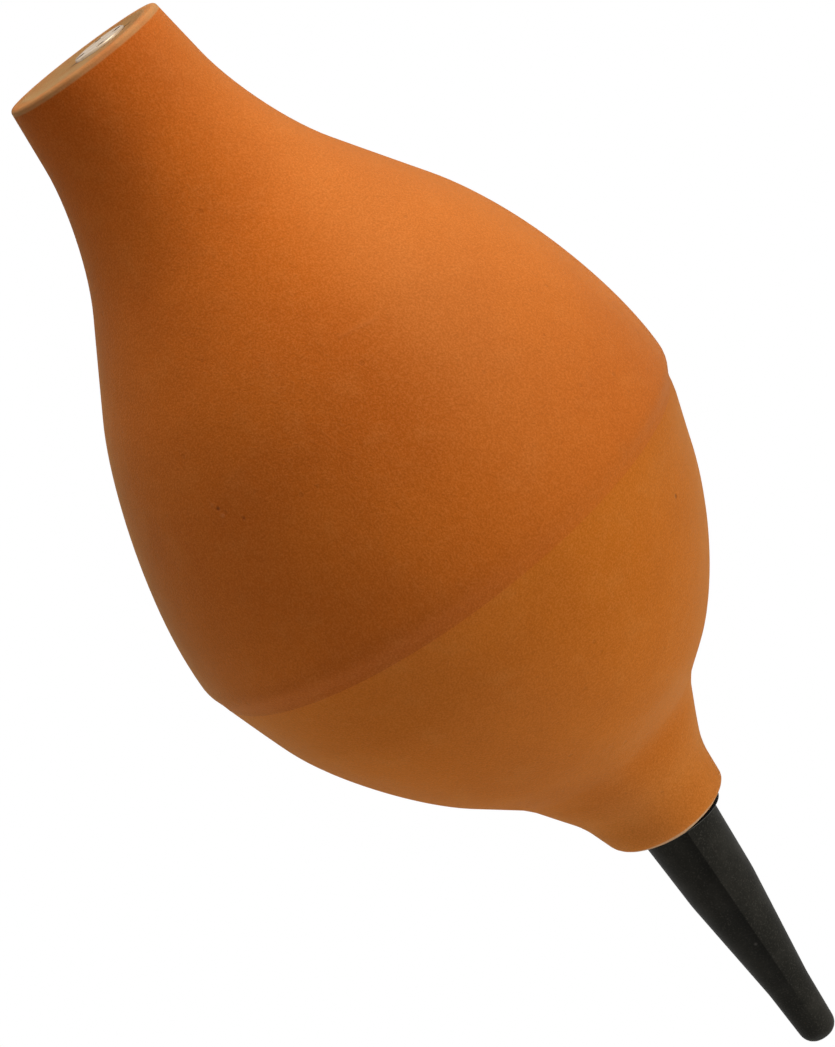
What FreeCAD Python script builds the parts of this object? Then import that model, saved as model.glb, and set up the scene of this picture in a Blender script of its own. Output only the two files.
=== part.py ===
"""Dust blower bulb: two cemented rubber half shells, an intake valve in the foot and a push-in nozzle.

The bulb stands on its flat foot. The origin is the centre of the foot's face, and +Z runs up to the nozzle.
"""
import FreeCAD, Part
import math
import os

# Rubber shells: corner radii and heights of the outline, and the blend radius that rounds each corner.
# Insets are measured inwards from the bulb's radius, and depths and rises from the seam's height.
foot_radius = 8.3
foot_rim_blend = 0.7
foot_thickness = 9.5
ankle_radius = 9.9
ankle_height = 13.6
ankle_blend = 32.0
bulb_radius = 27.5
seam_height = 56.9
haunch_inset = 0.5
haunch_depth = 16.9
haunch_blend = 52.0
rim_depth = 1.3
rim_blend = 2.2
rim_step = 0.5
seam_inset = 0.55
brow_inset = 5.4
brow_rise = 15.8
brow_blend = 36.5
throat_radius = 10.4
throat_rise = 27.1
ceiling_thickness = 2.5
wall = 3.0

# Cemented lap joint behind the seam
lap_inset = 2.1
lap_length = 3.2
lap_clearance = 0.05

# Neck above the throat: it is moulded a little to one side, and the nozzle leans back across it
shoulder_radius = 9.2
shoulder_rise = 2.6
shoulder_offset = 0.25
neck_radius = 7.8
neck_rise = 5.4
neck_offset = 0.5
collar_radius = 6.4
collar_rise = 11.0
collar_offset = 1.0
collar_blend = 1.3
nozzle_offset = 1.2
nozzle_lean = 2.7

# Nozzle, along its own axis from the underside of its flange
nozzle_length = 29.4
nozzle_root_radius = 4.15
nozzle_waist_radius = 3.68
nozzle_waist_height = 9.5
nozzle_taper_radius = 2.28
nozzle_taper_height = 22.5
nozzle_side_blend = 20.0
nozzle_tip_radius = 1.9
nozzle_tip_blend = 1.4
nozzle_outlet_radius = 0.75
nozzle_inlet_radius = 2.1
flange_radius = 5.0
flange_thickness = 0.6
flange_sink = 0.15
flange_clearance = 0.05
spigot_radius = 3.0
spigot_length = 9.0
spigot_lead = 0.6
spigot_clearance = 0.03

# Intake valve in the foot
valve_offset_x = -2.0
valve_offset_y = 1.5
valve_radius = 2.8
valve_recess = 0.05
valve_face_blend = 0.25
valve_clearance = 0.02
intake_count = 4
intake_radius = 0.45
intake_circle_radius = 2.05
seat_thickness = 0.8
cup_wall = 0.5
cup_ledge = 0.3
disc_radius = 2.9
disc_thickness = 0.5
disc_clearance = 0.1
disc_lift = 0.8
disc_lift_clearance = 0.05
cage_thickness = 0.6
cage_ring_width = 0.6
cage_hub_radius = 0.6
cage_spoke_count = 3
cage_spoke_width = 0.7
cage_clearance = 0.02

tiny = 1e-6
origin = FreeCAD.Vector(0, 0, 0)
up = FreeCAD.Vector(0, 0, 1)
seam_radius = bulb_radius - seam_inset
lap_radius = bulb_radius - lap_inset
throat_height = seam_height + throat_rise
ceiling_height = throat_height - ceiling_thickness
collar_height = throat_height + collar_rise
nozzle_place = FreeCAD.Vector(-nozzle_offset, 0, collar_height - flange_sink)
valve_place = FreeCAD.Vector(valve_offset_x, valve_offset_y, 0)
seat_height = foot_thickness + seat_thickness
cage_height = seat_height + disc_thickness + disc_lift + disc_lift_clearance
cup_top = cage_height + cage_thickness
disc_bore_radius = disc_radius + disc_clearance
cage_bore_radius = disc_bore_radius + cup_ledge
cup_radius = cage_bore_radius + cup_wall


def at(radius, height):
    return FreeCAD.Vector(radius, 0, height)


def blended(corners):
    """Straight runs through corners (radius, height, blend), with an arc at each corner.
    An arc has the blend radius, or a smaller one where two arcs would overlap on a run."""
    points = [at(radius, height) for radius, height, blend in corners]
    lengths = [start.distanceToPoint(end) for start, end in zip(points, points[1:])]
    half_angles = [(before - corner).getAngle(after - corner) / 2
                   for before, corner, after in zip(points, points[1:], points[2:])]
    reaches = [blend / math.tan(half) for (_, _, blend), half in zip(corners[1:], half_angles)]
    shares = [length / max(length, one + other)
              for length, one, other in zip(lengths, [0] + reaches, reaches + [0])]
    edges = []
    last = points[0]
    for index, half in enumerate(half_angles):
        before, corner, after = points[index:index + 3]
        reach = reaches[index] * min(shares[index], shares[index + 1])
        blend = reach * math.tan(half)
        back = (before - corner).normalize()
        on = (after - corner).normalize()
        start = corner + back * reach
        end = corner + on * reach
        if last.distanceToPoint(start) > tiny:
            edges.append(Part.LineSegment(last, start).toShape())
        if blend:
            middle = corner + (back + on).normalize() * (blend / math.sin(half) - blend)
            edges.append(Part.Arc(start, middle, end).toShape())
        last = end
    edges.append(Part.LineSegment(last, points[-1]).toShape())
    return edges


def inset(corners, distance):
    """The outline moved towards the axis by a distance, with its blends still parallel to the outer ones."""
    points = [at(radius, height) for radius, height, blend in corners]
    runs = [(end - start).normalize() for start, end in zip(points, points[1:])]
    moved = []
    for index, (_, _, blend) in enumerate(corners):
        before = runs[max(index - 1, 0)]
        after = runs[min(index, len(runs) - 1)]
        normal = FreeCAD.Vector(-before.z, 0, before.x)
        mean = FreeCAD.Vector(-before.z - after.z, 0, before.x + after.x).normalize()
        place = points[index] + mean * (distance / mean.dot(normal))
        turn = before.x * after.z - before.z * after.x
        moved.append((place.x, place.z, blend - math.copysign(distance, turn) if blend else 0))
    return moved


def turned(corners):
    """The solid inside an outline that starts and ends on the axis."""
    edges = blended(corners)
    edges.append(Part.LineSegment(at(*corners[-1][:2]), at(*corners[0][:2])).toShape())
    return Part.Face(Part.Wire(edges)).revolve(origin, up, 360)


def post(radius, low, high):
    return Part.makeCylinder(radius, high - low, at(0, low))


def layer(shape, low, high):
    """The part of a shape between two heights."""
    return shape.common(post(2 * bulb_radius, low, high))


def leaned(shape):
    """Moves a shape from the nozzle's own axis to its place in the collar."""
    placed = shape.copy()
    placed.rotate(origin, FreeCAD.Vector(0, 1, 0), nozzle_lean)
    placed.translate(nozzle_place)
    return placed


def rear_outline():
    return [
        (foot_radius, 0, foot_rim_blend),
        (ankle_radius, ankle_height, ankle_blend),
        (bulb_radius - haunch_inset, seam_height - haunch_depth, haunch_blend),
        (bulb_radius, seam_height - rim_depth, rim_blend),
        (seam_radius - rim_step, seam_height, 0),
    ]


def front_outline():
    return [
        (seam_radius, seam_height, 0),
        (bulb_radius - brow_inset, seam_height + brow_rise, brow_blend),
        (throat_radius, throat_height, 0),
    ]


def closed_to_axis(outline):
    return [(0, outline[0][1], 0)] + outline + [(0, outline[-1][1], 0)]


def rear_shell():
    shell = turned(closed_to_axis(rear_outline()))
    inner = inset(rear_outline()[:-1], wall)
    inner[-1] = (inner[-1][0], seam_height + wall, 0)
    hollow = layer(turned(closed_to_axis(inner)), foot_thickness, seam_height + wall)
    lap_seat = post(lap_radius + lap_clearance, seam_height - lap_length - lap_clearance, seam_height + wall)
    return shell.cut(Part.makeCompound([hollow, lap_seat, valve_envelope()]))


def ring(radius, offset, height):
    return Part.Wire(Part.makeCircle(radius, at(-offset, height)))


def neck():
    """The solid neck, which ends in a rounded collar square to the nozzle."""
    rings = [
        ring(throat_radius, 0, throat_height),
        ring(shoulder_radius, shoulder_offset, throat_height + shoulder_rise),
        ring(neck_radius, neck_offset, throat_height + neck_rise),
        leaned(ring(collar_radius, collar_offset - nozzle_offset, flange_sink)),
    ]
    body = Part.makeLoft(rings, True)
    collar_edge = max(body.Edges, key=lambda edge: edge.CenterOfMass.z)
    return body.makeFillet(collar_blend, [collar_edge])


def front_shell():
    dome = turned(closed_to_axis(front_outline()))
    lip = post(lap_radius, seam_height - lap_length, seam_height)
    inner = inset(front_outline(), wall)
    slope = (inner[0][0] - inner[1][0]) / (inner[1][1] - inner[0][1])
    inner[0] = (inner[0][0] + slope * 2 * lap_length, inner[0][1] - 2 * lap_length, 0)
    hollow = layer(turned(closed_to_axis(inner)), seam_height - 2 * lap_length, ceiling_height)
    return dome.fuse([neck(), lip]).cut(Part.makeCompound([hollow, nozzle_socket()])).removeSplitter()


def nozzle_socket():
    """The push-fit bore for the spigot, the airway below it and the shallow seat of the flange."""
    bore = post(spigot_radius + spigot_clearance, -spigot_length - spigot_clearance, flange_thickness)
    airway = post(nozzle_inlet_radius, ceiling_height - collar_height - wall, 0)
    flange_seat = post(flange_radius + flange_clearance, 0, flange_thickness + collar_blend)
    return leaned(bore.fuse([airway, flange_seat]))


def nozzle():
    body = turned(closed_to_axis([
        (spigot_radius - spigot_lead, -spigot_length, 0),
        (spigot_radius, spigot_lead - spigot_length, 0),
        (spigot_radius, 0, 0),
        (flange_radius, 0, 0),
        (flange_radius, flange_thickness, 0),
        (nozzle_root_radius, flange_thickness, 0),
        (nozzle_waist_radius, nozzle_waist_height, nozzle_side_blend),
        (nozzle_taper_radius, nozzle_taper_height, nozzle_side_blend),
        (nozzle_tip_radius, nozzle_length, nozzle_tip_blend),
    ]))
    bore_length = spigot_length + nozzle_length
    bore = Part.makeCone(nozzle_inlet_radius, nozzle_outlet_radius, bore_length, at(0, -spigot_length))
    return leaned(body.cut(bore))


def valve_envelope():
    """The space that the rubber leaves for the valve: its shank's bore and its cup."""
    shank = post(valve_radius + valve_clearance, 0, seat_height)
    cup = post(cup_radius + valve_clearance, foot_thickness, cup_top + wall)
    return shank.fuse(cup).translated(valve_place)


def valve_body():
    body = turned(closed_to_axis([
        (valve_radius, valve_recess, valve_face_blend),
        (valve_radius, foot_thickness, 0),
        (cup_radius, foot_thickness, 0),
        (cup_radius, cup_top, 0),
    ]))
    cuts = [post(disc_bore_radius, seat_height, cup_top), post(cage_bore_radius, cage_height, cup_top)]
    intake = post(intake_radius, 0, seat_height).translated(FreeCAD.Vector(intake_circle_radius, 0, 0))
    for index in range(intake_count):
        cuts.append(intake.rotated(origin, up, index * 360 / intake_count))
    return body.cut(cuts).translated(valve_place)


def valve_disc():
    return post(disc_radius, seat_height, seat_height + disc_thickness).translated(valve_place)


def valve_cage():
    ring_radius = cage_bore_radius - cage_clearance
    rim = post(ring_radius, cage_height, cup_top)
    rim = rim.cut(post(ring_radius - cage_ring_width, cage_height, cup_top))
    pieces = [post(cage_hub_radius, cage_height, cup_top)]
    spoke_length = ring_radius - cage_ring_width / 2
    spoke = Part.makeBox(spoke_length, cage_spoke_width, cage_thickness,
                         FreeCAD.Vector(0, -cage_spoke_width / 2, cage_height))
    for index in range(cage_spoke_count):
        pieces.append(spoke.rotated(origin, up, index * 360 / cage_spoke_count))
    return rim.fuse(pieces).removeSplitter().translated(valve_place)


os.makedirs("parts", exist_ok=True)
for make in (rear_shell, front_shell, nozzle, valve_body, valve_disc, valve_cage):
    piece = make()
    piece.exportStep(f"parts/{make.__name__}.step")
    box = piece.BoundBox
    print(f"{make.__name__}: valid {piece.isValid()}, solids {len(piece.Solids)}, {piece.Volume:.0f} mm3, "
          f"x {box.XMin:.2f} to {box.XMax:.2f}, z {box.ZMin:.2f} to {box.ZMax:.2f}")
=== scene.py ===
# Dust blower bulb: two cemented rubber halves, an intake valve in the foot and a push-in nozzle.
# Everything is in metres and stands on z = 0 with its foot down. Tables of sizes are in millimetres.
import bmesh
import bpy
from math import ceil, exp, pi, radians, tan
from mathutils import Matrix, Quaternion, Vector


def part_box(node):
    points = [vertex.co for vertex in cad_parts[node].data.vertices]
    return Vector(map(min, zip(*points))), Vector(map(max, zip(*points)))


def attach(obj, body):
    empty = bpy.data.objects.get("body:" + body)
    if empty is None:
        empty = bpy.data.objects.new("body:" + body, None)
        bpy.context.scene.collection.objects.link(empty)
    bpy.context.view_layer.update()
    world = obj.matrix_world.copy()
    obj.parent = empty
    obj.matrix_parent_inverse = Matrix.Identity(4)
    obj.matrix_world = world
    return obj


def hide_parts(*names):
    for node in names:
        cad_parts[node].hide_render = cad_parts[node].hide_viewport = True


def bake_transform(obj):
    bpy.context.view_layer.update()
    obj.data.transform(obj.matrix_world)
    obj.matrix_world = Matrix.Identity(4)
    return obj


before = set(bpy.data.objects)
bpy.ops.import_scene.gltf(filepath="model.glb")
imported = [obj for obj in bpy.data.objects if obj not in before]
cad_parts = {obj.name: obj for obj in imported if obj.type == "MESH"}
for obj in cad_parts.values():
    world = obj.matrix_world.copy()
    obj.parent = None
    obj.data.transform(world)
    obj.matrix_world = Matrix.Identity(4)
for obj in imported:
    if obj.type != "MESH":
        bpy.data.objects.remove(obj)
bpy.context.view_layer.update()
mm = 0.001
turnSteps = 144             # steps of every full spin
weldReach = 0.001           # millimetres within which two vertices are one
smoothAngle = 35            # degrees past which an edge stays sharp

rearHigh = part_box("rear_shell")[1]
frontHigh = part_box("front_shell")[1]
valveLow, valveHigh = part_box("valve_body")
bulbRadius = rearHigh.x / mm
seamHeight = rearHigh.z / mm
valveCentre = (valveLow + valveHigh) / 2 / mm


# ---- shared modelling steps

def drawProfile(mesh, corners, arcStep=1.2, runStep=2.0):
    # a chain of straight runs in the XZ plane; each corner (radius, height, blend) is rounded by its blend
    chain = bmesh.ops.create_vert(mesh, co=(corners[0][0], 0, corners[0][1]))["vert"]
    for radius, height, _ in corners[1:]:
        chain += bmesh.ops.extrude_vert_indiv(mesh, verts=[chain[-1]])["verts"]
        chain[-1].co = (radius, 0, height)
    places = [vert.co.copy() for vert in chain]
    for index in range(1, len(corners) - 1):
        blend = corners[index][2]
        if not blend:
            continue
        back = places[index - 1] - places[index]
        onward = places[index + 1] - places[index]
        halfAngle = back.angle(onward) / 2
        arcLength = blend * (pi - 2 * halfAngle)
        bmesh.ops.bevel(mesh, geom=[chain[index]], offset=blend / tan(halfAngle), offset_type="OFFSET",
                        segments=max(5, ceil(arcLength / arcStep)), profile=0.5, affect="VERTICES",
                        material=-1, clamp_overlap=False)
    for edge in list(mesh.edges):
        cuts = ceil(edge.calc_length() / runStep) - 1
        if cuts > 0:
            bmesh.ops.subdivide_edges(mesh, edges=[edge], cuts=cuts)


def turnProfile(corners, **steps):
    # spins a profile once round the Z axis and closes the seam and the poles
    mesh = bmesh.new()
    drawProfile(mesh, corners, **steps)
    bmesh.ops.spin(mesh, geom=mesh.verts[:] + mesh.edges[:], cent=(0, 0, 0), axis=(0, 0, 1),
                   angle=2 * pi, steps=turnSteps, use_merge=True, use_duplicate=False)
    bmesh.ops.remove_doubles(mesh, verts=mesh.verts, dist=weldReach)
    return mesh


def addTo(mesh, other):
    # copies another bmesh into this one
    carrier = bpy.data.meshes.new("carrier")
    other.to_mesh(carrier)
    other.free()
    mesh.from_mesh(carrier)
    bpy.data.meshes.remove(carrier)


def openLoop(mesh, radius, height, reach=0.05):
    # the open edges that ring the Z axis at one radius and height
    return [edge for edge in mesh.edges if edge.is_boundary
            and all(abs(vert.co.xy.length - radius) < reach and abs(vert.co.z - height) < reach
                    for vert in edge.verts)]


def carryLoop(mesh, edges, move):
    # extrudes a ring of edges to a new place and returns the new ring
    grown = bmesh.ops.extrude_edge_only(mesh, edges=edges)["geom"]
    verts = [part for part in grown if isinstance(part, bmesh.types.BMVert)]
    bmesh.ops.transform(mesh, matrix=move, verts=verts)
    return [part for part in grown if isinstance(part, bmesh.types.BMEdge) and part.is_boundary]


def finishPiece(mesh, name, *materials):
    # turns the faces outwards, goes to metres and makes the object
    bmesh.ops.recalc_face_normals(mesh, faces=mesh.faces)
    if mesh.calc_volume(signed=True) < 0:
        bmesh.ops.reverse_faces(mesh, faces=mesh.faces)
    mesh.transform(Matrix.Scale(mm, 4))
    data = bpy.data.meshes.new(name)
    mesh.to_mesh(data)
    mesh.free()
    piece = bpy.data.objects.new(name, data)
    bpy.context.scene.collection.objects.link(piece)
    for material in materials:
        data.materials.append(material)
    data.polygons.foreach_set("use_smooth", [True] * len(data.polygons))
    data.set_sharp_from_angle(angle=radians(smoothAngle))
    return piece


def hump(value, middle, spread):
    # 1 at the middle, falling smoothly to 0 on both sides
    return exp(-((value - middle) / spread) ** 2)


# ---- material building

def addNode(tree, kind, settings=None, **inputs):
    # inputs go by name, or by number as i0, i1 and so on; each is a value or another node's socket
    node = tree.nodes.new("ShaderNode" + kind)
    for name, value in (settings or {}).items():
        setattr(node, name, value)
    for name, value in inputs.items():
        numbered = name[0] == "i" and name[1:].isdigit()
        socket = node.inputs[int(name[1:]) if numbered else name]
        if isinstance(value, bpy.types.NodeSocket):
            tree.links.new(value, socket)
        else:
            socket.default_value = value
    return node


def startMaterial(name, colour, **settings):
    material = bpy.data.materials.new(name)
    material.use_nodes = True
    material.diffuse_color = (*colour, 1)
    shader = material.node_tree.nodes["Principled BSDF"]
    for socket, value in settings.items():
        shader.inputs[socket.replace("_", " ")].default_value = value
    return material, material.node_tree, shader


def objectCoords(tree):
    return addNode(tree, "TexCoord").outputs["Object"]


def mathNode(tree, operation, first, second=0.0):
    return addNode(tree, "Math", {"operation": operation}, i0=first, i1=second).outputs[0]


def mapRange(tree, value, fromLow, fromHigh, toLow=0.0, toHigh=1.0, smooth=True):
    kind = "SMOOTHSTEP" if smooth else "LINEAR"
    return addNode(tree, "MapRange", {"interpolation_type": kind}, i0=value, i1=fromLow, i2=fromHigh,
                   i3=toLow, i4=toHigh).outputs[0]


def mixColours(tree, amount, first, second, blend="MIX"):
    node = addNode(tree, "Mix", {"data_type": "RGBA", "blend_type": blend}, i0=amount, i6=first, i7=second)
    return node.outputs[2]


def noiseOf(tree, coords, scale, detail, roughness):
    node = addNode(tree, "TexNoise", None, Vector=coords, Scale=scale, Detail=detail, Roughness=roughness)
    return node.outputs[0]


def nearPoint(tree, coords, point, radius):
    # 1 at a point of the surface, falling to 0 at a radius from it
    centre = [value * mm for value in point]
    distance = addNode(tree, "VectorMath", {"operation": "DISTANCE"}, i0=coords, i1=centre).outputs["Value"]
    return mapRange(tree, distance, 0.0, radius * mm, 1.0, 0.0)


rubber = {
    "rearColour": (0.680, 0.157, 0.011), "rearDeep": (0.560, 0.116, 0.008),
    "rearPale": (0.760, 0.240, 0.046),
    "frontColour": (0.690, 0.177, 0.010), "frontDeep": (0.570, 0.136, 0.007),
    "frontPale": (0.770, 0.270, 0.050),
    "lipColour": (0.700, 0.450, 0.280), "rubbed": (0.660, 0.370, 0.145, 1), "rubbedAmount": 0.9,
    "cloudScale": 55, "cloudAmount": 0.5, "blotchScale": 275, "blotchAmount": 0.16,
    "grainScale": 5600, "grainDark": 0.88, "grainLight": 1.12, "grainPale": 0.10,
    "poreScale": 620, "poreDark": 0.14, "poreTone": 0.35, "poreDepth": 0.4,
    "grainBump": 0.0001, "waveBump": 0.00025, "roughness": (0.64, 0.82),
    # the seam tone is painted shade for the rim just above the seam
    "seamShade": (0.32, 0.062, 0.005), "darkMark": (0.17, 0.030, 0.006), "paleMark": (0.78, 0.26, 0.07),
    # of the next two tones, the first only darkens the rubber round the valve and the second is painted
    # shadow at two sides of the valve's hole
    "darkRoundValve": (0.42, 0.20, 0.07), "valveGapShadow": (0.10, 0.035, 0.015),
}


def makeRubber(name, base, deep, pale, rubbedBands, spots, paintedLightRamps=()):
    # matt moulded rubber: cloudy colour, fine grain, tiny pores, rubbed edges and small marks, some of them
    # painted shadow, with painted highlight and shade bands laid on by place
    material, tree, shader = startMaterial(name, base, Roughness=0.75, Specular_IOR_Level=0.07,
                                           Sheen_Weight=0.3, Sheen_Roughness=0.4,
                                           Sheen_Tint=(1, 0.86, 0.42, 1))
    coords = objectCoords(tree)
    cloud = noiseOf(tree, coords, rubber["cloudScale"], 4.0, 0.55)
    blotch = noiseOf(tree, coords, rubber["blotchScale"], 3.0, 0.6)
    grain = noiseOf(tree, coords, rubber["grainScale"], 2.0, 0.6)
    clouded = mapRange(tree, cloud, 0.35, 0.65, 0.0, rubber["cloudAmount"])
    colour = mixColours(tree, clouded, (*base, 1), (*deep, 1))
    blotched = mapRange(tree, blotch, 0.5, 0.75, 0.0, rubber["blotchAmount"])
    colour = mixColours(tree, blotched, colour, (*pale, 1))
    parts = addNode(tree, "SeparateXYZ", None, Vector=coords).outputs
    height = parts[2]
    # painted highlight and shade bands, each masked by place along the axes
    for tone, amount, *axes in paintedLightRamps:
        mask = amount
        for axis, bare, full in axes:
            mask = mathNode(tree, "MULTIPLY", mapRange(tree, parts[axis], bare * mm, full * mm), mask)
        colour = mixColours(tree, mask, colour, (*tone, 1))
    speckle = mapRange(tree, grain, 0.3, 0.7, rubber["grainDark"], rubber["grainLight"], smooth=False)
    colour = mixColours(tree, 1.0, colour, speckle, blend="MULTIPLY")
    dusted = mapRange(tree, grain, 0.45, 0.65, 0.0, rubber["grainPale"])
    colour = mixColours(tree, dusted, colour, rubber["rubbed"])
    pores = addNode(tree, "TexVoronoi", {"feature": "F1"}, Vector=coords, Scale=rubber["poreScale"])
    chance = addNode(tree, "SeparateColor", None, Color=pores.outputs["Color"])
    poreSize = mapRange(tree, chance.outputs[0], 0.72, 1.0, 0.0, 0.2, smooth=False)
    pore = mathNode(tree, "SUBTRACT", poreSize, pores.outputs["Distance"])
    pore = mapRange(tree, pore, 0.0, 0.08)
    poreColour = [value * rubber["poreTone"] for value in deep] + [1]
    colour = mixColours(tree, mathNode(tree, "MULTIPLY", pore, rubber["poreDark"]), colour, poreColour)
    rubbed = None
    for middle, spread in rubbedBands:
        away = mathNode(tree, "ABSOLUTE", mathNode(tree, "SUBTRACT", height, middle * mm))
        band = mapRange(tree, away, spread * mm * 0.7, spread * mm, 1.0, 0.0)
        rubbed = band if rubbed is None else mathNode(tree, "MAXIMUM", rubbed, band)
    uneven = mapRange(tree, blotch, 0.3, 0.7, 0.6, 1.0)
    rubbed = mathNode(tree, "MULTIPLY", rubbed, uneven)
    rubbed = mathNode(tree, "MULTIPLY", rubbed, rubber["rubbedAmount"])
    colour = mixColours(tree, rubbed, colour, rubber["rubbed"])
    relief = mathNode(tree, "SUBTRACT", grain, mathNode(tree, "MULTIPLY", pore, rubber["poreDepth"]))
    for point, radius, tone, strength, depth in spots:
        mark = nearPoint(tree, coords, point, radius)
        colour = mixColours(tree, mathNode(tree, "MULTIPLY", mark, strength), colour, (*tone, 1))
        relief = mathNode(tree, "SUBTRACT", relief, mathNode(tree, "MULTIPLY", mark, depth))
    roughness = mapRange(tree, grain, 0.3, 0.7, *rubber["roughness"])
    fine = addNode(tree, "Bump", None, Strength=0.5, Distance=rubber["grainBump"], Height=relief)
    wave = addNode(tree, "Bump", None, Strength=0.35, Distance=rubber["waveBump"], Height=blotch,
                   Normal=fine.outputs[0])
    tree.links.new(colour, shader.inputs["Base Color"])
    tree.links.new(roughness, shader.inputs["Roughness"])
    tree.links.new(wave.outputs[0], shader.inputs["Normal"])
    return material


plastic = {
    "bloomScale": 180, "bloomAmount": 0.45, "grainScale": 5200, "grainBump": 0.00003,
    "roughness": (0.42, 0.6),
    "black": (0.0225, 0.0215, 0.0175), "blackPale": (0.062, 0.058, 0.048),
    "cage": (0.56, 0.50, 0.41), "cagePale": (0.64, 0.58, 0.49),
    "disc": (0.022, 0.021, 0.020), "discPale": (0.060, 0.058, 0.054),
}


def makePlastic(name, base, pale, specular=0.12, dress=None, grit=0.6):
    # satin moulded plastic with a fine spark-eroded grain and a faint bloom; dress adds its own marks and
    # painted light
    material, tree, shader = startMaterial(name, base, Roughness=0.5, Specular_IOR_Level=specular)
    coords = objectCoords(tree)
    bloom = noiseOf(tree, coords, plastic["bloomScale"], 4.0, 0.6)
    grain = noiseOf(tree, coords, plastic["grainScale"], 2.0, 0.6)
    bloomed = mapRange(tree, bloom, 0.4, 0.7, 0.0, plastic["bloomAmount"])
    colour = mixColours(tree, bloomed, (*base, 1), (*pale, 1))
    colour = mixColours(tree, mapRange(tree, grain, 0.5, 0.72, 0.0, grit), colour, (*pale, 1))
    if dress:
        colour = dress(tree, coords, colour)
    roughness = mapRange(tree, grain, 0.3, 0.7, *plastic["roughness"])
    bump = addNode(tree, "Bump", None, Strength=0.4, Distance=plastic["grainBump"], Height=grain)
    tree.links.new(colour, shader.inputs["Base Color"])
    tree.links.new(roughness, shader.inputs["Roughness"])
    tree.links.new(bump.outputs[0], shader.inputs["Normal"])
    return material


turnedMetal = {
    "bright": (0.60, 0.45, 0.30), "dull": (0.46, 0.33, 0.21), "dullAmount": 0.7, "tarnishScale": 900,
    "ringScale": 900, "ringBump": 0.00003, "roughness": (0.36, 0.55),
    # painted shadow at two sides of the valve's rim, where the gaps lie in shade
    "gapShadow": (0.10, 0.04, 0.02, 1), "gapShadowAmount": 0.85, "gapShadowReach": 2.3, "gapShadowHeight": 0.2,
    "gapShadowRadius": 0.9,
}


def makeTurnedMetal(name):
    # satin aluminium with lathe rings round the valve's axis, and painted shadow at two sides of its rim
    look = turnedMetal
    material, tree, shader = startMaterial(name, look["bright"], Metallic=0.6, Roughness=0.5)
    coords = objectCoords(tree)
    toCentre = (-valveCentre.x * mm, -valveCentre.y * mm, 0)
    centred = addNode(tree, "Mapping", None, Vector=coords, Location=toCentre).outputs[0]
    rings = addNode(tree, "TexWave", {"wave_type": "RINGS", "rings_direction": "Z"}, Vector=centred,
                    Scale=look["ringScale"], Distortion=1.2, Detail=1.0)
    tarnish = noiseOf(tree, coords, look["tarnishScale"], 3.0, 0.6)
    dulled = mapRange(tree, tarnish, 0.4, 0.7, 0.0, look["dullAmount"])
    colour = mixColours(tree, dulled, (*look["bright"], 1), (*look["dull"], 1))
    # painted shadow in the gaps at two sides of the rim
    for side in (-1, 1):
        spot = (valveCentre.x + side * look["gapShadowReach"], valveCentre.y, look["gapShadowHeight"])
        gapShadow = nearPoint(tree, coords, spot, look["gapShadowRadius"])
        gapShadow = mathNode(tree, "MULTIPLY", gapShadow, look["gapShadowAmount"])
        colour = mixColours(tree, gapShadow, colour, look["gapShadow"])
    roughness = mapRange(tree, tarnish, 0.3, 0.7, *look["roughness"])
    bump = addNode(tree, "Bump", None, Strength=0.3, Distance=look["ringBump"], Height=rings.outputs["Fac"])
    tree.links.new(colour, shader.inputs["Base Color"])
    tree.links.new(roughness, shader.inputs["Roughness"])
    tree.links.new(bump.outputs[0], shader.inputs["Normal"])
    return material


print("rubber, plastic and metal")
marks = {       # point, radius, tone, strength and depth of each spot: small blemishes, a darker zone round the valve and painted shadow beside it
    "rear": [((14.8, -18.45, 37.3), 0.32, rubber["darkMark"], 0.75, 2.0),
             ((14.8, -18.7, 38.0), 0.38, rubber["paleMark"], 0.5, -1.0),
             ((15.0, -18.0, 36.8), 0.38, rubber["paleMark"], 0.35, -1.0),
             ((13.4, -20.2, 39.0), 0.3, rubber["darkMark"], 0.45, 1.0),
             # the rubber is only made darker round the valve's bore
             ((valveCentre.x, valveCentre.y, 0.5), 4.3, rubber["darkRoundValve"], 0.45, 0.0)],
    "front": [((-19.1, -15.7, 63.3), 0.36, rubber["darkMark"], 0.65, 1.0)],
}
scar = {        # a faint raised line of overlapping spots
    "start": (-3.2, -20.75, 31), "step": (-0.5, 0.057, 0.1), "spots": 8,
    "radius": 0.5, "strength": 0.12, "depth": -0.6,
}
for count in range(scar["spots"]):
    place = [start + step * count for start, step in zip(scar["start"], scar["step"])]
    marks["rear"].append((place, scar["radius"], rubber["paleMark"], scar["strength"], scar["depth"]))
valveGapShadow = {   # painted shadow: dark spots at two sides of the valve's hole, where the gaps beside the valve lie in shade
    "reach": 2.9, "height": 0.3, "radius": 0.9, "strength": 0.8,
}
for side in (-1, 1):
    place = (valveCentre.x + side * valveGapShadow["reach"], valveCentre.y, valveGapShadow["height"])
    marks["rear"].append((place, valveGapShadow["radius"], rubber["valveGapShadow"], valveGapShadow["strength"], 0.0))
paintedLightTints = {       # painted highlight and shade by place: tone and amount, then for each axis the places where it is bare and where it is full
    # painted highlight on the rear's -X side, where the key light falls
    "rear": [(rubber["rearPale"], 0.5, (0, -2, -12), (2, 60, 24)),
             # painted shade on the rim just above the seam, stronger on the +X side
             (rubber["seamShade"], 0.26, (2, seamHeight - 4.5, seamHeight - 1), (0, -12, 12))],
    # painted highlight on the neck
    "front": [(rubber["frontPale"], 0.34, (2, seamHeight + 26, seamHeight + 33))],
}
rubbedHeights = {       # height and half width of each rubbed band
    "foot": [(0.0, 0.7)], "collar": [(frontHigh.z / mm + 0.3, 0.5)], "lip": [(0, 1)],
}
rearRubber = makeRubber("rearRubber", rubber["rearColour"], rubber["rearDeep"], rubber["rearPale"],
                        rubbedHeights["foot"], marks["rear"], paintedLightTints["rear"])
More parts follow.
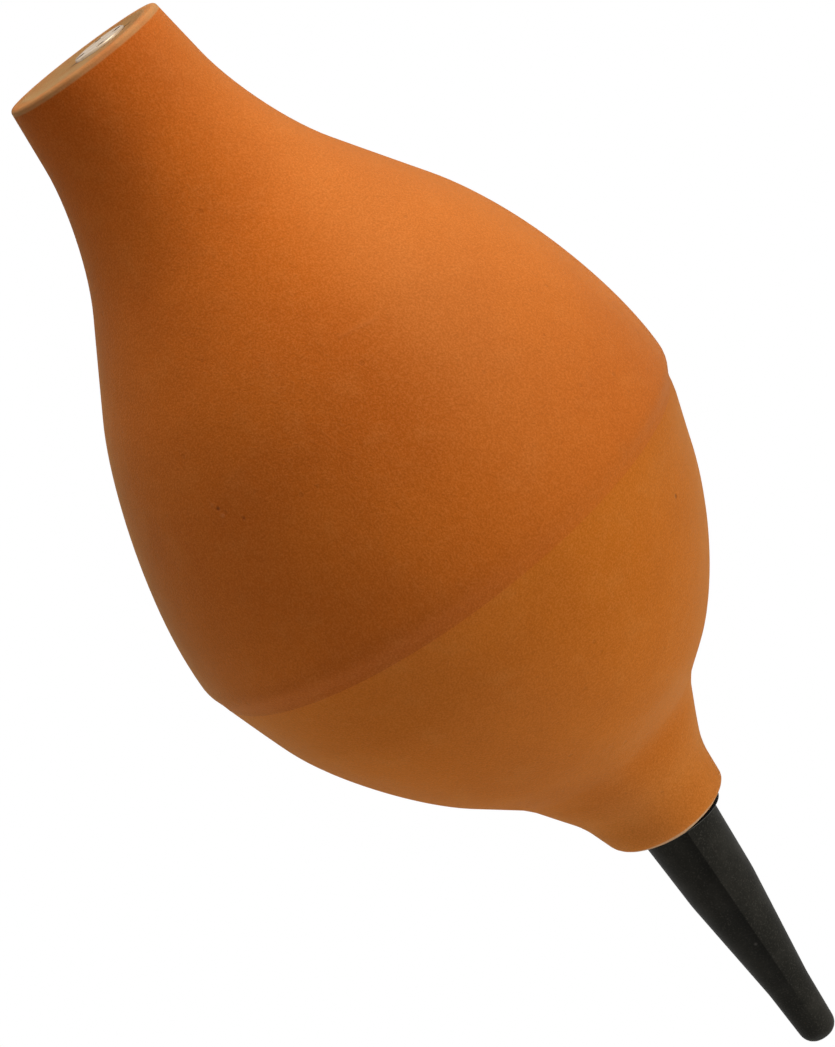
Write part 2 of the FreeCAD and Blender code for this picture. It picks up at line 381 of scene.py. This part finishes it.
frontRubber = makeRubber("frontRubber", rubber["frontColour"], rubber["frontDeep"], rubber["frontPale"],
                         rubbedHeights["collar"], marks["front"], paintedLightTints["front"])
lipRubber = makeRubber("lipRubber", rubber["lipColour"], rubber["frontPale"], rubber["lipColour"],
                       rubbedHeights["lip"], [])
cagePlastic = makePlastic("cagePlastic", plastic["cage"], plastic["cagePale"], specular=0.3)
discRubber = makePlastic("discRubber", plastic["disc"], plastic["discPale"])
valveMetal = makeTurnedMetal("valveMetal")


# ---- rear half: flat foot, flared ankle and the wide rim at the seam

# insets are from the bulb's radius and depths from the seam; the ankle is (radius, height, blend)
rear = {
    "footRadius": 8.3, "footRim": 0.4, "footLip": (6.9, 0.6), "footThickness": 9.5, "footWear": 0.15,
    "dishRadius": 5.6, "dishDepth": 0.3, "boreRadius": 2.82, "boreCuts": 5,
    "ankle": (9.9, 13.6, 32.0), "haunchInset": 0.5, "haunchDepth": 16.9, "haunchBlend": 50.0,
    "rimDepth": 2.0, "rimBlend": 3.0, "creaseInset": 0.44, "creaseDepth": 0.7, "creaseBlend": 1.5,
    "seamInset": 0.62, "lapRadius": 25.45, "lapDepth": 3.25, "lapLedge": 0.4,
    "wall": 3.0, "innerRise": 1.5, "innerHaunchBlend": 38.0, "innerAnkleBlend": 30.0, "floorInset": 0.6,
}
outOfTrue = {   # height, spread and sideways reach of two bulges, and how the crease at the seam opens
    "brow": (64, 8, 0.26), "haunch": (36, 12, -0.24),
    "creaseOpen": 0.24, "creaseDrop": 0.1, "creaseSpread": 1.0, "creaseSkin": 1.6, "creaseReach": 3,
}


def sway(mesh):
    # the soft bulb is a little out of true: it leans one way at the haunch and the other at the brow
    for vert in mesh.verts:
        height = vert.co.z
        for middle, spread, reach in (outOfTrue["brow"], outOfTrue["haunch"]):
            vert.co.x += reach * hump(height, middle, spread)


def wearFoot(mesh):
    # one side of the foot's rim stands a hair higher than the other
    for vert in mesh.verts:
        if vert.co.z < 1:
            vert.co.z += rear["footWear"] * max(0.0, vert.co.y / rear["footRadius"]) * (1 - vert.co.z)


def openCrease(mesh):
    # the crease at the seam is deeper on one side, where the halves were pressed together less
    skin = bulbRadius - outOfTrue["creaseSkin"]
    middle = seamHeight - outOfTrue["creaseDrop"]
    for vert in mesh.verts:
        if vert.co.xy.length > skin and abs(vert.co.z - seamHeight) < outOfTrue["creaseReach"]:
            side = max(0.0, -vert.co.x / bulbRadius)
            drawIn = side * outOfTrue["creaseOpen"] * hump(vert.co.z, middle, outOfTrue["creaseSpread"])
            vert.co.xy *= 1 - drawIn / bulbRadius


def makeRearHalf():
    haunch = (bulbRadius - rear["haunchInset"], seamHeight - rear["haunchDepth"])
    wall = rear["wall"]
    floorRing = rear["ankle"][0] - wall - rear["floorInset"]
    mesh = turnProfile([
        (rear["dishRadius"], rear["dishDepth"], 0),
        (rear["footLip"][0], 0, rear["footLip"][1]),
        (rear["footRadius"], 0, rear["footRim"]),
        rear["ankle"],
        (*haunch, rear["haunchBlend"]),
        (bulbRadius, seamHeight - rear["rimDepth"], rear["rimBlend"]),
        (bulbRadius - rear["creaseInset"], seamHeight - rear["creaseDepth"], rear["creaseBlend"]),
        (bulbRadius - rear["seamInset"], seamHeight, 0),
        (rear["lapRadius"], seamHeight, 0),
        (rear["lapRadius"], seamHeight - rear["lapDepth"], 0),
        (bulbRadius - wall - rear["lapLedge"], seamHeight - rear["lapDepth"], 0),
        (haunch[0] - wall, haunch[1] + rear["innerRise"], rear["innerHaunchBlend"]),
        (rear["ankle"][0] - wall, rear["ankle"][1] + rear["innerRise"], rear["innerAnkleBlend"]),
        (floorRing, rear["footThickness"], 0),
    ])
    # the bore for the valve stands off the axis, so the ring of the dish is drawn in to it and out again
    narrow = rear["boreRadius"] / rear["dishRadius"]
    boreStep = (rear["footThickness"] - rear["dishDepth"]) / rear["boreCuts"]
    aside = Matrix.Translation((valveCentre.x, valveCentre.y, 0))
    ring = openLoop(mesh, rear["dishRadius"], rear["dishDepth"])
    ring = carryLoop(mesh, ring, aside @ Matrix.Diagonal((narrow, narrow, 1, 1)))
    for _ in range(rear["boreCuts"]):
        ring = carryLoop(mesh, ring, Matrix.Translation((0, 0, boreStep)))
    widen = floorRing / rear["boreRadius"]
    carryLoop(mesh, ring, Matrix.Diagonal((widen, widen, 1, 1)) @ aside.inverted())
    bmesh.ops.remove_doubles(mesh, verts=mesh.verts, dist=weldReach)
    openCrease(mesh)
    sway(mesh)
    wearFoot(mesh)
    return finishPiece(mesh, "rearHalf", rearRubber)


print("rear half")
rearHalf = makeRearHalf()
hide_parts("rear_shell")
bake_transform(rearHalf)


# ---- nozzle: long tapered tube with a flange and a spigot below it

nozzleSizes = {     # heights are along the nozzle's own axis, from the underside of its flange
    "lean": 2.7, "offset": 1.2, "flangeSink": 0.15, "collarHeight": 95.0,
    "rootRadius": 4.15, "rootBlend": 0.15, "waist": (3.68, 9.5, 20.0), "taper": (2.28, 22.5, 20.0),
    "tip": (1.9, 29.4, 1.4), "outletRadius": 0.75, "outletRound": 0.12, "outletDepth": 1.5,
    "inletRadius": 2.1,
    "flangeRadius": 5.0, "flangeThickness": 0.4, "flangeRound": 0.1, "flangeLift": 0.32,
    "spigotRadius": 3.0, "spigotLength": 9.0, "spigotLead": 1.5, "spigotNarrow": 0.1, "spigotBlend": 0.3,
}
nozzlePaintedLightAndSpeck = {     # painted shade on one side of the parting line, painted shadow on the flange's side wall with a painted highlight on its edge, and one speck
    "shadeTone": (0.0008, 0.0007, 0.0006, 1), "shadeWidth": 1.7, "shadeNear": 0.66, "shadeFar": 0.18,
    "lineEdge": (-0.12, 0.04), "fadeAlong": (16, 28), "fadedTo": 0.2,
    "flangeShadowTone": (0.0006, 0.0005, 0.0005, 1), "flangeRadii": (4.6, 4.8), "flangeHeights": (0.28, 0.34),
    "edgeHighlightTone": (0.20, 0.19, 0.17, 1), "edgeRadii": (4.78, 4.92), "edgeHeights": (0.30, 0.36),
    "edgeHighlightAmount": 0.8,
    "speckTone": (0.12, 0.11, 0.10, 1), "speckPlace": (0.1, -3.1, 110.3), "speckRadius": 0.3,
    "speckAmount": 0.7,
}


def nozzlePlace():
    base = Vector((-nozzleSizes["offset"], 0, nozzleSizes["collarHeight"] - nozzleSizes["flangeSink"]))
    return Matrix.Translation(base) @ Matrix.Rotation(radians(nozzleSizes["lean"]), 4, "Y")


def paintNozzleLightAndSpeck(tree, coords, colour):
    # painted shade beside the parting line, painted shadow on the flange's wall, a painted highlight on its
    # edge and one speck; works along and across the nozzle's own axis
    spans = ("lineEdge", "fadeAlong", "flangeRadii", "flangeHeights", "edgeRadii", "edgeHeights")
    dress = {name: [part * mm for part in nozzlePaintedLightAndSpeck[name]] for name in spans}
    local = addNode(tree, "Mapping", {"vector_type": "TEXTURE"}, Vector=coords,
                    Location=[value * mm for value in nozzlePlace().translation],
                    Rotation=(0, radians(nozzleSizes["lean"]), 0)).outputs[0]
    across, _, along = addNode(tree, "SeparateXYZ", None, Vector=local).outputs
    flat = addNode(tree, "VectorMath", {"operation": "MULTIPLY"}, i0=local, i1=(1, 1, 0)).outputs[0]
    radius = addNode(tree, "VectorMath", {"operation": "LENGTH"}, i0=flat).outputs["Value"]
    # painted shade beside the parting line, fading towards the tip
    shade = mapRange(tree, across, 0.0, nozzlePaintedLightAndSpeck["shadeWidth"] * mm, nozzlePaintedLightAndSpeck["shadeNear"],
                     nozzlePaintedLightAndSpeck["shadeFar"])
    shade = mathNode(tree, "MULTIPLY", shade, mapRange(tree, across, *dress["lineEdge"]))
    faded = mapRange(tree, along, *dress["fadeAlong"], 1.0, nozzlePaintedLightAndSpeck["fadedTo"])
    colour = mixColours(tree, mathNode(tree, "MULTIPLY", shade, faded), colour, nozzlePaintedLightAndSpeck["shadeTone"])
    lifted = mapRange(tree, across, -nozzleSizes["flangeRadius"] * mm, 0.0,
                      nozzleSizes["flangeLift"] * mm, 0.0, smooth=False)
    along = mathNode(tree, "SUBTRACT", along, lifted)
    # painted shadow on the flange's side wall, which lies in shade under the lip
    flange = mathNode(tree, "MULTIPLY", mapRange(tree, radius, *dress["flangeRadii"]),
                      mapRange(tree, along, *dress["flangeHeights"], 1.0, 0.0))
    colour = mixColours(tree, flange, colour, nozzlePaintedLightAndSpeck["flangeShadowTone"])
    # painted highlight along the flange's top edge
    edge = mathNode(tree, "MULTIPLY", mapRange(tree, radius, *dress["edgeRadii"]),
                    mapRange(tree, along, *dress["edgeHeights"]))
    edge = mathNode(tree, "MULTIPLY", edge, nozzlePaintedLightAndSpeck["edgeHighlightAmount"])
    colour = mixColours(tree, edge, colour, nozzlePaintedLightAndSpeck["edgeHighlightTone"])
    speck = nearPoint(tree, coords, nozzlePaintedLightAndSpeck["speckPlace"], nozzlePaintedLightAndSpeck["speckRadius"])
    speck = mathNode(tree, "MULTIPLY", speck, nozzlePaintedLightAndSpeck["speckAmount"])
    return mixColours(tree, speck, colour, nozzlePaintedLightAndSpeck["speckTone"])


def makeNozzle():
    size = nozzleSizes
    length = size["tip"][1]
    mesh = turnProfile([
        (size["inletRadius"], -size["spigotLength"], 0),
        (size["spigotRadius"] - size["spigotNarrow"], -size["spigotLength"], size["spigotBlend"]),
        (size["spigotRadius"], -size["spigotLength"] + size["spigotLead"], size["spigotBlend"]),
        (size["spigotRadius"], 0, 0),
        (size["flangeRadius"], 0, size["flangeRound"]),
        (size["flangeRadius"], size["flangeThickness"], size["flangeRound"]),
        (size["rootRadius"], size["flangeThickness"], size["rootBlend"]),
        size["waist"],
        size["taper"],
        size["tip"],
        (size["outletRadius"] + 0.1, length, size["outletRound"]),
        (size["outletRadius"], length - size["outletDepth"], 0),
        (size["inletRadius"], -size["spigotLength"], 0),
    ], arcStep=0.4, runStep=1.2)
    for vert in mesh.verts:     # the flange stands a little open on one side
        onFlange = -0.1 < vert.co.z < size["flangeThickness"] + 0.3
        if onFlange and vert.co.xy.length > size["spigotRadius"] + 0.5:
            vert.co.z += size["flangeLift"] * max(0.0, -vert.co.x / size["flangeRadius"])
    mesh.transform(nozzlePlace())
    return finishPiece(mesh, "nozzleTube", blackPlastic)


print("nozzle")
blackPlastic = makePlastic("blackPlastic", plastic["black"], plastic["blackPale"], specular=0.03,
                           dress=paintNozzleLightAndSpeck, grit=0.8)
nozzleTube = makeNozzle()
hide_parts("nozzle")
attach(nozzleTube, "nozzle")


# ---- front half: domed shell that narrows to a bent neck with a rounded collar

front = {       # rises are from the seam; throat, neck and collar are (radius, rise, blend)
    "browInset": 5.4, "browRise": 15.8, "browBlend": 36.5,
    "throat": (10.4, 27.1, 8.0), "neck": (7.35, 33.1, 9.0), "collar": (6.4, 38.1, 1.6),
    "bend": 1.0, "tilt": 4.2, "throatPush": (0.95, 1.15), "throatSpread": 3.2,
    "lipWidth": 1.33, "lipDepth": 0.7, "lipDent": 0.5, "dentStart": 0.875,
    "wall": 3.0, "lapRadius": 25.4, "lapLength": 3.2, "lapLedge": 0.75, "innerBrowDrop": 1.2,
    "ceilingRise": 24.6, "ceilingInset": 1.8, "airwayRadius": 2.1, "airwayLap": 0.4,
    "socketRadius": 3.03, "socketDepth": 9.03, "seatRadius": 5.05,
}


def bendNeck(mesh):
    # the throat swells on one side, the neck leans aside as it rises, and its end turns back to the nozzle
    start = seamHeight + front["throat"][1]
    rise = front["collar"][1] - front["throat"][1]
    outward, back = front["throatPush"]
    for vert in mesh.verts:
        push = hump(vert.co.z, start, front["throatSpread"]) * max(0.0, -vert.co.x / front["throat"][0])
        vert.co.x -= outward * push
        vert.co.z -= back * push
        along = max(0.0, (vert.co.z - start) / rise)
        if along:
            dented = max(0.0, (along - front["dentStart"]) / (1 - front["dentStart"]))
            dent = front["lipDent"] * max(0.0, -vert.co.x / front["seatRadius"]) * dented
            vert.co.z -= vert.co.x * tan(radians(front["tilt"])) * along ** 2 + dent
            vert.co.x -= front["bend"] * along


def makeFrontHalf():
    wall = front["wall"]
    heights = {name: seamHeight + front[name][1] for name in ("throat", "neck", "collar")}
    brow = (bulbRadius - front["browInset"], seamHeight + front["browRise"])
    ceiling = seamHeight + front["ceilingRise"]
    outer = turnProfile([
        (front["seatRadius"], heights["collar"], 0),
        (front["collar"][0], heights["collar"], front["collar"][2]),
        (front["neck"][0], heights["neck"], front["neck"][2]),
        (front["throat"][0], heights["throat"], front["throat"][2]),
        (*brow, front["browBlend"]),
        (bulbRadius - rear["seamInset"], seamHeight, 0),
        (front["lapRadius"], seamHeight, 0),
        (front["lapRadius"], seamHeight - front["lapLength"], 0),
        (bulbRadius - wall - front["lapLedge"], seamHeight - front["lapLength"], 0),
        (brow[0] - wall, brow[1] - front["innerBrowDrop"], front["browBlend"] - wall),
        (front["throat"][0] - front["ceilingInset"], ceiling, 0),
        (front["airwayRadius"], ceiling, 0),
    ], arcStep=0.4, runStep=1.0)
    lipReach = front["seatRadius"] + front["lipWidth"] + 0.01
    lipBottom = heights["collar"] - front["lipDepth"]
    for face in outer.faces:    # the collar's lip gets the paler lip rubber
        if all(vert.co.z > lipBottom and vert.co.xy.length < lipReach for vert in face.verts):
            face.material_index = 1
    bendNeck(outer)
    openCrease(outer)
    sway(outer)
    socket = turnProfile([
        (front["seatRadius"], nozzleSizes["flangeSink"], 0),
        (front["seatRadius"], 0, 0),
        (front["socketRadius"], 0, 0),
        (front["socketRadius"], -front["socketDepth"], 0),
        (front["airwayRadius"], -front["socketDepth"], 0),
        (front["airwayRadius"], ceiling - nozzleSizes["collarHeight"] + front["airwayLap"], 0),
    ])
    socket.transform(nozzlePlace())
    addTo(outer, socket)
    between = (ceiling + heights["collar"]) / 2     # parts the open rings at the collar from those inside
    loops = [edge for edge in outer.edges if edge.is_boundary]
    atCollar = [edge for edge in loops if edge.verts[0].co.z > between]
    atCeiling = [edge for edge in loops if edge.verts[0].co.z < between]
    for pair in (atCollar, atCeiling):
        bmesh.ops.bridge_loops(outer, edges=pair)
    return finishPiece(outer, "frontHalf", frontRubber, lipRubber)


print("front half")
frontHalf = makeFrontHalf()
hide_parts("front_shell")
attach(frontHalf, "front")


# ---- intake valve: the turned body, its flap disc and cage keep their own solids

print("valve finishes")
valveFinishes = {"valve_body": valveMetal, "valve_disc": discRubber, "valve_cage": cagePlastic}
for nodeName, finish in valveFinishes.items():
    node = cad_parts[nodeName]
    node.data.materials.clear()
    node.data.materials.append(finish)


# ---- floor, light and camera

studio = {      # metres and watts; each lamp is its place and power
    "floorRadius": 1.6, "floorGap": 0.0072, "floorDrop": 0.0002, "floorColour": (0.86, 0.86, 0.85, 1),
    "floorGlow": 0.42, "floorFade": (0.16, 0.42), "fill": 0.063,
    "lampSize": 0.42, "lampAim": (0, 0, 0.055),
    "lamps": {
        "keyBox": ((-0.643, -0.273, 0.018), 2.7),
        "underBox": ((-0.239, 0, -0.603), 2.35),
        "topBox": ((0.185, -0.175, 0.700), 1.97),
    },
}


def makeFloor():
    # pale floor that fades into the white round it; it shows from above only, is open under the foot and
    # lets shadow rays through, so that the foot is lit and can be looked at from below
    mesh = bmesh.new()
    outer = bmesh.ops.create_circle(mesh, segments=96, radius=studio["floorRadius"])["verts"]
    inner = bmesh.ops.create_circle(mesh, segments=96, radius=studio["floorGap"])["verts"]
    bmesh.ops.bridge_loops(mesh, edges=mesh.edges[:])
    bmesh.ops.translate(mesh, vec=(0, 0, -studio["floorDrop"]), verts=outer + inner)
    for face in mesh.faces:
        if face.normal.z < 0:
            face.normal_flip()
    data = bpy.data.meshes.new("studioFloor")
    mesh.to_mesh(data)
    mesh.free()
    floor = bpy.data.objects.new("studioFloor", data)
    bpy.context.scene.collection.objects.link(floor)
    material = bpy.data.materials.new("paleFloor")
    material.use_nodes = True
    tree = material.node_tree
    tree.nodes.clear()
    matt = addNode(tree, "BsdfDiffuse", None, Color=studio["floorColour"])
    clear = addNode(tree, "BsdfTransparent")
    below = addNode(tree, "NewGeometry").outputs["Backfacing"]
    path = addNode(tree, "LightPath")
    seen = path.outputs["Is Camera Ray"]
    glow = addNode(tree, "Emission", None, Color=studio["floorColour"],
                   Strength=mathNode(tree, "MULTIPLY", seen, studio["floorGlow"]))
    pale = addNode(tree, "AddShader", None, i0=matt.outputs[0], i1=glow.outputs[0])
    away = addNode(tree, "VectorMath", {"operation": "LENGTH"}, i0=objectCoords(tree)).outputs["Value"]
    faded = mathNode(tree, "MULTIPLY", seen, mapRange(tree, away, *studio["floorFade"]))
    seeThrough = mathNode(tree, "MAXIMUM", below, path.outputs["Is Shadow Ray"])
    seeThrough = mathNode(tree, "MAXIMUM", seeThrough, faded)
    mix = addNode(tree, "MixShader", None, i0=seeThrough, i1=pale.outputs[0], i2=clear.outputs[0])
    output = addNode(tree, "OutputMaterial", None, Surface=mix.outputs[0])
    output.is_active_output = True
    floor.data.materials.append(material)


def makeWorld():
    # plain white where the camera, a reflection or clear material looks; a soft grey fill for the rest
    world = bpy.data.worlds.new("studioWorld")
    bpy.context.scene.world = world
    world.use_nodes = True
    tree = world.node_tree
    tree.nodes.clear()
    path = addNode(tree, "LightPath")
    seen = mathNode(tree, "MAXIMUM", path.outputs["Is Camera Ray"], path.outputs["Is Glossy Ray"])
    seen = mathNode(tree, "MAXIMUM", seen, path.outputs["Is Transmission Ray"])
    strength = mapRange(tree, seen, 0.0, 1.0, studio["fill"], 1.0, smooth=False)
    background = addNode(tree, "Background", None, Color=(1, 1, 1, 1), Strength=strength)
    addNode(tree, "OutputWorld", None, Surface=background.outputs[0])


def addSoftbox(name, place, power):
    lamp = bpy.data.lights.new(name, "AREA")
    lamp.shape = "DISK"
    lamp.size = studio["lampSize"]
    lamp.energy = power
    holder = bpy.data.objects.new(name, lamp)
    holder.location = place
    holder.rotation_euler = (Vector(studio["lampAim"]) - Vector(place)).to_track_quat("-Z", "Y").to_euler()
    bpy.context.scene.collection.objects.link(holder)


cameraSetting = {
    "eye": (0, -0.2904, -0.0275), "aim": (0.0015, 0, 0.05482), "roll": 142.68,
    "lens": 107.55, "sensor": 36,
}


def makeCamera():
    data = bpy.data.cameras.new("view")
    data.lens = cameraSetting["lens"]
    data.sensor_width = cameraSetting["sensor"]
    data.clip_start = 0.01
    camera = bpy.data.objects.new("view", data)
    eye, aim = Vector(cameraSetting["eye"]), Vector(cameraSetting["aim"])
    level = (aim - eye).to_track_quat("-Z", "Y")
    camera.rotation_euler = (level @ Quaternion((0, 0, 1), radians(cameraSetting["roll"]))).to_euler()
    camera.location = eye
    bpy.context.scene.collection.objects.link(camera)
    bpy.context.scene.camera = camera


print("studio")
makeFloor()
makeWorld()
for lampName, (lampPlace, lampPower) in studio["lamps"].items():
    addSoftbox(lampName, lampPlace, lampPower)
makeCamera()
bpy.context.scene.view_settings.view_transform = "Standard"
